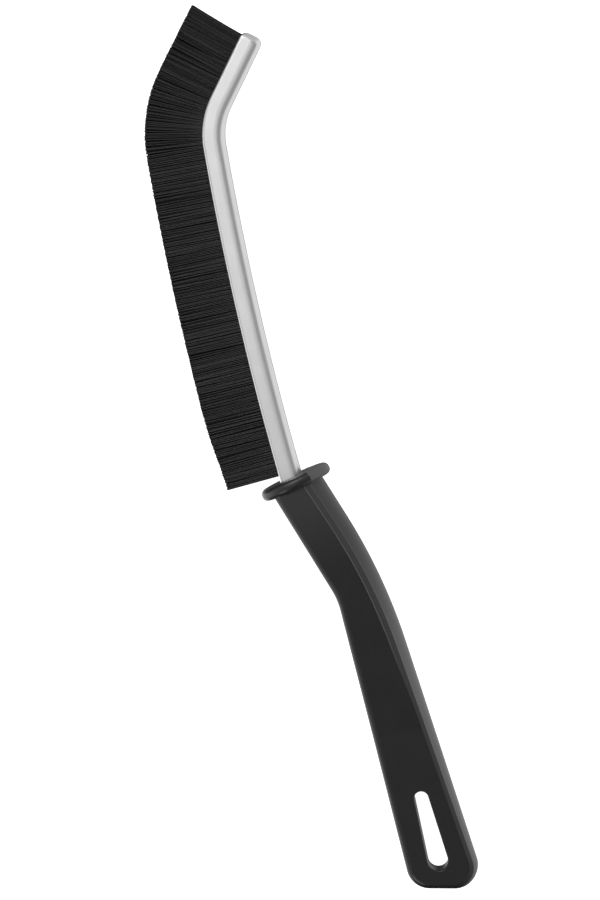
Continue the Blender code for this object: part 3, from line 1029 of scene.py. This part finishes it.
    def lean(self, loom: GrowthLoom, seed: Lead, along: Lead, number: Lead, far: Lead) -> Lead:
        """How far a filament's cut end leans along the strip.

        Each tuft draws its filaments together and leans as one. The innermost filaments stand
        straight, and so do the last ones at either end of the row.

        Args:
            loom: The tree.
            seed: The bundle's seed.
            along: Where the filament stands along the strip.
            number: Its own number.
            far: 1 on the upper side of the brush, 0 on the lower.

        Returns:
            The lean.
        """
        layer = loom.kept("layer")
        wave = loom.sum("SINE", along * self.tuft_wave) * self.tuft_sway
        shifted = along + layer * self.tuft_stagger + wave + far * self.tuft * 0.5
        tuft = loom.sum("FLOOR", shifted / self.tuft)
        family = tuft * 2.0 + far
        drawn = ((tuft + 0.5) * self.tuft - shifted) * loom.chance(0.0, self.tuft_draw, family, 21)
        shared = loom.chance(-self.tuft_lean, self.tuft_lean, family, 23)
        own = loom.chance(-self.own_lean, self.own_lean, number, seed + 17)
        rogue = loom.chance(0.0, 1.0, number, seed + 19) > self.rogue_above
        rogue = rogue * loom.chance(-self.rogue_lean, self.rogue_lean, number, seed + 23)
        near_nose = loom.sum("MAXIMUM", 1.0 - (ROUTE.length - along) / self.nose_lean_from, 0.0)
        ends = loom.ease(along, self.first, self.first + MM)
        ends = ends * loom.ease(-1.0 * along, -self.last, MM - self.last)
        free = (drawn + shared + own + rogue) * layer
        return free * (ends * (1.0 - self.end_share) + self.end_share) + near_nose * self.nose_lean

    def lay_strands(self, loom: GrowthLoom, seed: Lead) -> Lead:
        """Sets out one unshaped strand for each filament, numbered and with its place in the row.

        Args:
            loom: The tree.
            seed: The bundle's seed.

        Returns:
            The strands, as curves.
        """
        index = loom.node("GeometryNodeInputIndex")
        filaments = loom.given.other("filaments")
        layer = loom.sum("MODULO", index, self.layers)
        rank = loom.sum("FLOOR", index / self.layers)
        jitter = loom.chance(-self.rank_jitter, self.rank_jitter, index, seed + 3)
        stagger = loom.chance(0.0, 1.0, layer, seed + 5)
        share = (rank + jitter + stagger) / (filaments / self.layers)
        start = loom.sum("WRAP", share, 1.0, 0.0) * self.pitch
        depth = (layer + loom.chance(*self.layer_jitter, index, seed + 1)) / (self.layers - 1.0)
        dots = loom.node("GeometryNodePoints", {}, {"Count": filaments})
        dots = loom.keep(dots, start=start, layer=loom.clamped(depth), number=index)
        line = loom.node("GeometryNodeCurvePrimitiveLine", {}, {"End": (1.0, 0.0, 0.0)})
        inputs = {"Curve": line, "Count": self.strand_points}
        strand = loom.node("GeometryNodeResampleCurve", {}, inputs)
        inputs = {"Points": dots, "Instance": strand}
        instances = loom.node("GeometryNodeInstanceOnPoints", {}, inputs)
        return loom.node("GeometryNodeRealizeInstances", {}, {0: instances})

    def dress(self, channel: SteelChannel, wire: CoreWire) -> None:
        """Grows every bundle, gives it its finish and joins it to the model.

        Args:
            channel: The channel that grips the filament.
            wire: The wire that the filament is folded over.
        """
        loom = self.tree(channel, wire)
        for number in range(1, self.bundles + 1):
            begins = self.first + self.pitch * (number - 1)
            ends = begins + self.pitch
            turn = ROUTE.follow((0.0, 0.0), ends)[1] - ROUTE.follow((0.0, 0.0), begins)[1]
            fanned = 1.0 + self.fan_fill * turn * self.free_length / self.pitch
            filaments = self.layers * round(self.per_layer * fanned)
            spots = [ROUTE.point(along) for along in ROUTE.stations(begins, ends, self.line_spacing)]
            name = f"filament_{number:02d}"
            piece = loom.grow(name, spots, begins=begins, filaments=filaments, seed=number * 100)
            present(piece, f"filament_bundle_{number:02d}")


# The handle


@dataclass
class Handle:
    """The cranked moulding: grip, collar, hanging slot and the socket for the strip's tang."""

    left_top: Pair = (-14.7 * MM, 115.4 * MM)
    left_crank: Pair = (-5.45 * MM, 82.4 * MM)
    left_foot: Pair = (-7.85 * MM, -0.9 * MM)
    right_foot: Pair = (12.2 * MM, -6.5 * MM)
    right_crank: Pair = (8.5 * MM, 85.6 * MM)
    right_top: Pair = (-0.9 * MM, 117.4 * MM)
    left_crank_radius: float = 20.0 * MM
    right_crank_radius: float = 155.0 * MM
    foot_radius: float = 6.4 * MM
    edge_count: int = 130
    corner_steps: int = 14
    foot_half: float = 3.7 * MM
    collar_half: float = 6.4 * MM
    level_to: float = 42.0 * MM
    thickness_bow: float = 0.35
    soft_radius: float = 1.8 * MM
    soft_steps: int = 14
    side_at_foot: float = 1.1 * MM
    side_at_collar: float = 3.4 * MM
    side_arc: float = math.radians(65.0)
    side_steps: int = 10
    facet_width: float = 1.7 * MM
    facet_least: float = 0.7
    facet_drop: float = 0.28 * MM
    facet_span: Pair = (46.0 * MM, 76.0 * MM)
    ridge: float = 0.07 * MM
    ridge_reach: float = 0.12 * MM
    flash: float = 0.03 * MM
    flash_half: float = 0.10 * MM
    flat_lead: float = 0.15 * MM
    flat_from: float = 0.4 * MM
    # Painted light: the side is painted paler, more so towards the foot, the facet a little paler,
    # and a painted highlight runs along the facet's edge.
    foot_sheen: float = 2.8
    foot_sheen_span: Pair = (50.0 * MM, 106.0 * MM)
    facet_sheen: float = 0.9
    edge_highlight: float = 4.2
    collar_centre: Pair = (-7.85 * MM, 116.4 * MM)
    collar_heading: float = math.radians(-9.4)
    collar_half_length: float = 10.15 * MM
    collar_half_depth: float = 8.0 * MM
    collar_thickness: float = 2.9 * MM
    collar_sides: int = 96
    crown_height: float = 0.45 * MM
    crown_inset: float = 3.9 * MM
    crown_step: float = 0.05 * MM
    dome_inset: float = 1.8 * MM
    wall_top: float = 0.4 * MM
    dome_steps: int = 12
    under_round: float = 1.35 * MM
    under_steps: int = 9
    ridge_spacing: float = 0.014
    ridge_clear: float = 0.0308
    land_angle: float = math.radians(62.0)
    # Painted light on the collar: its side is painted paler, and the painted neck sheen comes partly
    # back towards its top.
    collar_sheen: float = 1.8
    collar_plain: float = 0.75
    mark_span: Pair = (-0.9, -0.3)
    plain_span: Pair = (-0.3, 0.5)
    slot_top: Pair = (1.7 * MM, 22.9 * MM)
    slot_top_radius: float = 2.0 * MM
    slot_foot: Pair = (1.4 * MM, 5.0 * MM)
    slot_foot_radius: float = 2.85 * MM
    slot_top_steps: int = 20
    slot_foot_steps: int = 24
    slot_rim: float = 0.4 * MM
    slot_rim_steps: int = 7
    slot_draft: float = 0.12 * MM
    slot_flash: float = 0.03 * MM
    slot_beyond: float = 2.0 * MM
    slot_beyond_swell: float = 0.2 * MM
    socket_gap: float = 0.12 * MM
    socket_spacing: float = 1.5 * MM

    def round_off(self, before: Pair, corner: Pair, after: Pair, radius: float) -> list[Vector]:
        """The arc that rounds a corner of the outline.

        Args:
            before: The corner before it.
            corner: The corner.
            after: The corner after it.
            radius: The arc's radius.

        Returns:
            Points along the arc.
        """
        middle = Vector(corner)
        incoming = (middle - Vector(before)).normalized()
        outgoing = (Vector(after) - middle).normalized()
        turn = incoming.angle_signed(outgoing)
        side = 1.0 if turn > 0.0 else -1.0
        first = middle - incoming * radius * math.tan(abs(turn) / 2)
        centre = first + Vector((incoming.y, -incoming.x)) * radius * side
        spoke = first - centre
        points = []
        for step in range(self.corner_steps + 1):
            angle = -turn * step / self.corner_steps
            cosine, sine = math.cos(angle), math.sin(angle)
            turned = (spoke.x * cosine - spoke.y * sine, spoke.x * sine + spoke.y * cosine)
            points.append(centre + Vector(turned))
        return points

    def even(self, route: Sequence[Vector], count: int) -> list[Vector]:
        """Evenly spaced points along a route of straight pieces.

        Args:
            route: The route's corners.
            count: How many points there are.

        Returns:
            The points.
        """
        corners = np.array([spot[:] for spot in route])
        steps = np.linalg.norm(np.diff(corners, axis=0), axis=1)
        reached = np.concatenate(([0.0], np.cumsum(steps)))
        wanted = np.linspace(0.0, reached[-1], count)
        across = np.interp(wanted, reached, corners[:, 0])
        along = np.interp(wanted, reached, corners[:, 1])
        return [Vector(pair) for pair in zip(across, along)]

    def half_thickness(self, y: float) -> float:
        """Half the thickness: level by the slot, easing up to the collar."""
        share = max(0.0, (y - self.level_to) / (self.collar_centre[1] - self.level_to))
        grown = min(1.0, share + share * (1.0 - share) * self.thickness_bow)
        return self.foot_half + (self.collar_half - self.foot_half) * grown

    def soft_profile(self, y: float) -> list[Pair]:
        """Inset and height up the soft left edge: wall, round, and a step on to the flat."""
        half = self.half_thickness(y)
        radius = self.soft_radius
        profile = [(-self.flash, 0.0), (0.0, self.flash_half)]
        profile += [(0.0, (half - radius) * share) for share in (0.35, 0.7)]
        rounded = quarter(radius, radius, self.soft_steps)
        profile += [(inset, half - radius + rise) for inset, rise in rounded]
        return profile + [(radius + self.flat_lead, half), (radius + self.flat_from, half)]

    def sharp_profile(self, y: float) -> list[Pair]:
        """Inset and height up the right edge: curved side, parting ridge, facet and flat."""
        half = self.half_thickness(y)
        share = max(0.0, min(1.0, y / self.collar_centre[1]))
        side = self.side_at_foot + (self.side_at_collar - self.side_at_foot) * share
        crisp = ease(y, *self.facet_span)
        facet = self.facet_width * (self.facet_least + (1.0 - self.facet_least) * crisp)
        shoulder = half - self.facet_drop
        profile = [(-self.flash, 0.0), (0.0, self.flash_half)]
        for step in range(1, self.side_steps):
            angle = self.side_arc * step / self.side_steps
            inset = side * (1.0 - math.cos(angle)) / (1.0 - math.cos(self.side_arc))
            profile.append((inset, shoulder * math.sin(angle) / math.sin(self.side_arc)))
        reach = self.ridge_reach
        near = Vector((side, shoulder)) - Vector(profile[-1])
        near = near.normalized() * reach
        profile.append((side - near.x, shoulder - near.y))
        profile.append((side - self.ridge * 0.5, shoulder + self.ridge))
        for portion in (reach / facet, 0.3, 0.5, 0.7, 1.0 - reach / facet, 1.0):
            straight = self.facet_drop * (1.0 - portion)
            eased = self.facet_drop * (1.0 - portion) ** 2
            drop = eased + (straight - eased) * crisp
            lift = self.ridge * crisp if portion == 1.0 else 0.0
            profile.append((side + facet * portion, half - drop + lift))
        return profile + [(side + facet + reach, half), (side + facet + self.flat_from, half)]

    def grip(self) -> bpy.types.Mesh:
        """The grip: a column of profile points at every point of the outline, and rungs across."""
        rounded = (
            (self.left_top, self.left_crank, self.left_foot, self.left_crank_radius),
            (self.left_crank, self.left_foot, self.right_foot, self.foot_radius),
            (self.left_foot, self.right_foot, self.right_crank, self.foot_radius),
            (self.right_top, self.right_crank, self.right_foot, self.right_crank_radius),
        )
        crank_left, foot_left, foot_right, crank_right = (self.round_off(*case) for case in rounded)
        count = self.edge_count
        left = self.even([Vector(self.left_top), *crank_left, foot_left[0]], count)
        right = self.even([Vector(self.right_top), *crank_right, foot_right[-1]], count)
        outline = left + foot_left[1:] + foot_right[:-1] + list(reversed(right))
        last = len(outline) - 1
        bm = bmesh.new()
        bm.verts.layers.float.new("land_sheen")
        columns = []
        for index, spot in enumerate(outline):
            if index < count:
                inward, sided = (right[index] - spot).normalized(), 0.0
            elif index > last - count:
                inward, sided = (left[last - index] - spot).normalized(), 1.0
            else:
                tangent = outline[index + 1] - outline[index - 1]
                inward = Vector((-tangent.y, tangent.x)).normalized()
                sided = ease((index - count + 1) / (last + 2 - 2 * count), 0.5, 1.0)
            columns.append(self.column(bm, spot, inward, sided))
        self.skin(bm, columns, count)
        return settle(bm, "grip")

    def column(
        self, bm: bmesh.types.BMesh, spot: Vector, inward: Vector, sided: float
    ) -> list[bmesh.types.BMVert]:
        """One column of vertices, from the under face round the edge to the upper face.

        Args:
            bm: The mesh that is being made, with a layer that marks where the side, its facet and
                the facet's edge are painted paler as light.
            spot: The outline's point.
            inward: The direction across the flat face.
            sided: 0 for the soft edge, 1 for the sharp one.

        Returns:
            The vertices.
        """
        land_sheen = bm.verts.layers.float["land_sheen"]
        # Painted light: how much paler each level is painted, with a painted highlight on the ridge
        # and the facet's edge.
        side_sheen_level = 1.0 + self.foot_sheen * (1.0 - ease(spot.y, *self.foot_sheen_span))
        crisp = ease(spot.y, *self.facet_span)
        up_to_ridge, over_facet = self.side_steps + 2, 5
        marks = [sided * side_sheen_level] * up_to_ridge + [sided * (side_sheen_level + crisp)]
        marks += [sided * self.facet_sheen] * over_facet + [sided * crisp * self.edge_highlight, 0.0, 0.0]
        levels = []
        for soft, sharp, mark in zip(self.soft_profile(spot.y), self.sharp_profile(spot.y), marks):
            inset, height = (a + (b - a) * sided for a, b in zip(soft, sharp))
            levels.append((inset, height, mark))
        made = []
        for inset, height, mark in [(a, -b, c) for a, b, c in reversed(levels[1:])] + levels:
            vert = bm.verts.new(placed(spot + inward * inset, height))
            vert[land_sheen] = mark
            made.append(vert)
        return made

    def skin(
        self, bm: bmesh.types.BMesh, columns: list[list[bmesh.types.BMVert]], count: int
    ) -> None:
        """Joins the columns round the edge, and closes both flat faces and the hidden top.

        Args:
            bm: The mesh that is being made.
            columns: The columns, in order round the outline.
            count: How many columns each long edge has.
        """
        last = len(columns) - 1
        for column, following in zip(columns, columns[1:]):
            for low in range(len(column) - 1):
                bm.faces.new((column[low], column[low + 1], following[low + 1], following[low]))
        for face in (0, -1):
            for index in range(count - 1):
                near, far = columns[index][face], columns[index + 1][face]
                other, beyond = columns[last - index][face], columns[last - index - 1][face]
                bm.faces.new((near, far, beyond, other))
            bm.faces.new([column[face] for column in columns[count - 1:last + 2 - count]])
        bm.faces.new(columns[0] + list(reversed(columns[last])))

    @property
    def collar_axes(self) -> tuple[Vector, Vector]:
        """The plan directions through the collar, towards the head, and across it."""
        sine, cosine = math.sin(self.collar_heading), math.cos(self.collar_heading)
        return Vector((sine, cosine)), Vector((cosine, -sine))

    def collar(self) -> bpy.types.Mesh:
        """The oval flange: a bull-nosed rim, a low crown, and a parting ridge on either cheek."""
        angles = set(np.linspace(0.0, 2 * math.pi, self.collar_sides, endpoint=False))
        ridges = (self.land_angle, 2 * math.pi - self.land_angle)
        for ridge in ridges:
            angles = {angle for angle in angles if abs(angle - ridge) > self.ridge_clear}
            angles |= {ridge + step * self.ridge_spacing for step in range(-2, 3)}
        rim = self.collar_thickness / 2
        under, dome = self.under_round, rim + self.crown_height
        lower = reversed(quarter(under, under, self.under_steps))
        upper = quarter(self.dome_inset, dome - self.wall_top, self.dome_steps)
        levels = [(inset, under - rise - rim) for inset, rise in lower]
        levels += [(inset, self.wall_top + rise) for inset, rise in upper]
        levels.append((self.crown_inset, dome + self.crown_step))
        along, across = self.collar_axes
        bm = bmesh.new()
        rings = []
        for inset, rise in levels:
            ring = []
            for angle in sorted(angles):
                proud = self.ridge if angle in ridges else 0.0
                pull = inset - proud * math.cos(math.asin(max(-1.0, min(1.0, rise / rim))))
                lift = proud if rise > 0.0 else 0.0
                sideways = (self.collar_half_length - pull) * math.cos(angle)
                place = Vector(self.collar_centre) + along * (rise + lift) + across * sideways
                height = (self.collar_half_depth - pull) * math.sin(angle)
                ring.append(bm.verts.new(placed(place, height)))
            rings.append(ring)
        bridge(bm, rings)
        return settle(bm, "collar")

    def mark_collar(self, piece: bpy.types.Object) -> None:
        """Marks painted light on the collar: its side painted paler, and the rest mostly clear of
        the painted neck sheen.

        Args:
            piece: The moulding.
        """
        along, across = self.collar_axes
        for vert, mark in zip(piece.data.vertices, piece.data.attributes["land_sheen"].data):
            spot = vert.co - PLAN_ZERO
            gap = spot.xy - Vector(self.collar_centre)
            rise = gap @ along / (self.collar_thickness / 2)
            shown = ease(rise, *self.mark_span)
            if shown > 0.0:
                sideways = gap @ across / self.collar_half_length
                # Painted light: the side is painted paler; elsewhere the painted neck sheen fades
                # out low on the collar.
                if math.atan2(abs(spot.z) / self.collar_half_depth, sideways) < self.land_angle:
                    mark.value = 1.0 + self.collar_sheen * shown
                else:
                    mark.value = -shown * (1.0 - self.collar_plain * ease(rise, *self.plain_span))

    def slot(self) -> bpy.types.Mesh:
        """The slot's core: drafted from both sides, opening into a rounded rim at each face."""
        top, foot = Vector(self.slot_top), Vector(self.slot_foot)
        axis = top - foot
        square = math.atan2(axis.y, axis.x) - QUARTER_TURN
        lean = math.asin((self.slot_foot_radius - self.slot_top_radius) / axis.length)
        right, left = square + lean, square + math.pi - lean
        face, flash = self.foot_half, self.slot_draft + self.slot_flash
        levels = [(0.0, -flash), (self.slot_draft, -self.slot_draft), (face - self.slot_rim, 0.0)]
        rounded = quarter(self.slot_rim, self.slot_rim, self.slot_rim_steps)[1:]
        levels += [(face - self.slot_rim + rise, swell) for swell, rise in rounded]
        levels.append((face + self.slot_beyond, self.slot_rim + self.slot_beyond_swell))
        bm = bmesh.new()
        rings = []
        for height, swell in [(-high, swell) for high, swell in reversed(levels[1:])] + levels:
            outline = arc(top, self.slot_top_radius + swell, right, left, self.slot_top_steps)
            foot_radius, round_to = self.slot_foot_radius + swell, right + 2 * math.pi
            outline += arc(foot, foot_radius, left, round_to, self.slot_foot_steps)
            rings.append([bm.verts.new(placed(spot, height)) for spot in outline])
        bridge(bm, rings)
        return settle(bm, "slot_core")

    def dress(self, channel: SteelChannel) -> None:
        """Builds the moulding, gives it its finish and joins it to the model.

        Args:
            channel: The channel whose tang the socket takes.
        """
        inside = ROUTE.tang_length + self.collar_thickness
        stations = [-self.socket_gap, *ROUTE.stations(0.0, inside, self.socket_spacing)]
        socket = channel.sweep(channel.outer(self.socket_gap), stations, "tang_core")
        tools = [(self.collar(), Cut.ADD), (self.slot(), Cut.REMOVE), (socket, Cut.REMOVE)]
        piece = carve(stand_up("grip", self.grip()), tools, "handle_moulding")
        self.mark_collar(piece)
        present(piece, "handle", MouldedPlastic().make())


# The studio


@dataclass(frozen=True)
class Softbox:
    """A soft, even panel of light, placed by the direction that it shines from."""

    name: str
    yaw: float
    pitch: float
    distance: float
    width: float
    length: float
    brightness: float

    def hang(self) -> None:
        """Adds the light."""
        light = bpy.data.lights.new(self.name, "AREA")
        light.shape = "RECTANGLE"
        light.size = self.width
        light.size_y = self.length
        light.energy = self.brightness * math.pi * self.width * self.length
        lamp = stand_up(self.name, light)
        lamp.matrix_world = look_from(self.yaw, self.pitch, 0.0, self.distance, Vector())


def look_from(yaw: float, pitch: float, roll: float, distance: float, aim: Vector) -> Matrix:
    """The place of something that looks at a point from a direction above the floor.

    Args:
        yaw: How far it leans from overhead towards +X, in degrees.
        pitch: How far it leans from overhead towards +Y, in degrees.
        roll: How far it is turned about its own line of sight, in degrees.
        distance: How far from the point it is.
        aim: The point.

    Returns:
        Its matrix, looking down its own -Z.
    """
    lean_x, lean_y, turn = (math.radians(angle) for angle in (yaw, pitch, roll))
    level = math.cos(lean_y)
    back = Vector((math.sin(lean_x) * level, math.sin(lean_y), math.cos(lean_x) * level))
    right = Vector((0.0, 1.0, 0.0)).cross(back).normalized()
    up = back.cross(right)
    rolled_right = right * math.cos(turn) + up * math.sin(turn)
    rolled_up = up * math.cos(turn) - right * math.sin(turn)
    turned = Matrix((rolled_right, rolled_up, back)).transposed()
    return Matrix.Translation(aim + back * distance) @ turned.to_4x4()


@dataclass
class Studio:
    """The pale floor, the soft lights and the camera.

    The room's light depends on its direction alone. A span is where a wall's light fades in: over
    two angles in degrees, or over two parts of the direction along X, Y or Z.
    """

    floor_half: float = 3.0
    gap: float = 0.40
    right_wall: float = 1.12
    right_span: Pair = (35.0, 47.0)
    left_wall: float = 0.62
    left_span: Pair = (20.0, 50.0)
    low_left: float = 1.9
    low_left_span: Pair = (55.0, 80.0)
    above_span: Pair = (0.0, 0.30)
    head_wall: float = 0.35
    head_span: Pair = (25.0, 45.0)
    head_corner: float = 0.72
    corner_pitch: Pair = (18.0, 32.0)
    corner_yaw: Pair = (8.0, 26.0)
    under: float = 0.08
    under_head: Pair = (0.1, 0.4)
    under_head_side: Pair = (0.1, 0.35)
    foot_wall: float = 0.05
    foot_span: Pair = (24.0, 44.0)
    foot_side: Pair = (0.1, 0.4)
    below_span: Pair = (0.90, 0.98)
    camera_yaw: float = 5.0
    camera_pitch: float = 5.0
    camera_roll: float = -15.925
    camera_distance: float = 1.1
    camera_aim: tuple[float, float, float] = (1.2227 * MM, 2.1416 * MM, 8.0 * MM)
    focal_share: float = 4.44806
    sensor: float = 36.0
    softboxes: tuple[Softbox, ...] = (
        Softbox("overhead_left", -12.5, 11.0, 1.3, 0.58, 0.78, 0.97),
        Softbox("beyond_head", -14.0, 44.0, 1.3, 0.74, 0.54, 5.8),
        Softbox("foot_left", -39.0, -35.0, 1.3, 0.40, 0.40, 6.5),
    )

    def lay_floor(self) -> None:
        """Adds the floor that the brush lies on."""
        half = self.floor_half
        mesh = bpy.data.meshes.new("floor")
        corners = [(-half, -half, 0.0), (half, -half, 0.0), (half, half, 0.0), (-half, half, 0.0)]
        mesh.from_pydata(corners, [], [(0, 1, 2, 3)])
        mesh.materials.append(StudioPaper().make())
        floor = stand_up("floor", mesh)
        floor.visible_glossy = False

    def light(self) -> None:
        """Adds the softboxes and the dim room round them."""
        for softbox in self.softboxes:
            softbox.hang()
        room = bpy.data.worlds.new("room")
        room.use_nodes = True
        loom = Loom(room.node_tree)
        way = loom.node("ShaderNodeTexCoord", output="Generated")
        x = loom.node("ShaderNodeSeparateXYZ", {}, {0: way}, "X")
        y, z = x.other("Y"), x.other("Z")
        yaw = loom.sum("DEGREES", loom.sum("ARCTAN2", x, z))
        pitch = loom.sum("DEGREES", loom.sum("ARCSINE", y))
        left, footward, above = yaw * -1.0, pitch * -1.0, loom.ease(z, *self.above_span)
        glow = loom.ease(yaw, *self.right_span) * (self.right_wall - self.gap)
        glow = glow + loom.ease(left, *self.left_span) * (self.left_wall - self.gap) + self.gap
        corner = loom.ease(pitch, *self.corner_pitch) * loom.ease(yaw, *self.corner_yaw)
        head = loom.ease(y, *self.under_head) * (1.0 - loom.ease(x, *self.under_head_side))
        foot = loom.ease(footward, *self.foot_span) * (1.0 - loom.ease(x, *self.foot_side))
        walls = (
            (loom.ease(left, *self.low_left_span), self.low_left),
            (loom.ease(pitch, *self.head_span) * above, self.head_wall),
            (corner, self.head_corner),
            (head * (1.0 - above), self.under),
            (foot, self.foot_wall),
            (loom.ease(z * -1.0, *self.below_span), self.under),
        )
        for share, brightness in walls:
            glow = loom.blend(share, glow, brightness)
        back = room.node_tree.nodes["Background"]
        room.node_tree.links.new(glow.socket, back.inputs["Strength"])
        back.inputs["Color"].default_value = (1.0, 1.0, 1.0, 1.0)
        bpy.context.scene.world = room

    def aim_camera(self) -> None:
        """Adds the camera above the brush, turned so that the brush leans across the frame."""
        lens = bpy.data.cameras.new("camera")
        lens.sensor_fit = "VERTICAL"
        lens.sensor_height = self.sensor
        lens.lens = self.focal_share * self.sensor
        camera = stand_up("camera", lens)
        aim, distance = Vector(self.camera_aim), self.camera_distance
        pose = look_from(self.camera_yaw, self.camera_pitch, self.camera_roll, distance, aim)
        camera.matrix_world = pose
        bpy.context.scene.camera = camera
        bpy.context.scene.view_settings.view_transform = "Standard"

    def dress(self) -> None:
        """Sets the whole studio up."""
        self.lay_floor()
        self.light()
        self.aim_camera()
        LOG.info("studio: %d softboxes", len(self.softboxes))


def main() -> None:
    """Builds the brush and its studio."""
    logging.basicConfig(level=logging.INFO, format="%(name)s: %(message)s")
    channel = SteelChannel()
    wire = CoreWire()
    channel.dress()
    wire.dress(channel)
    FilamentRow().dress(channel, wire)
    Handle().dress(channel)
    Studio().dress()


if __name__ == "__main__":
    main()
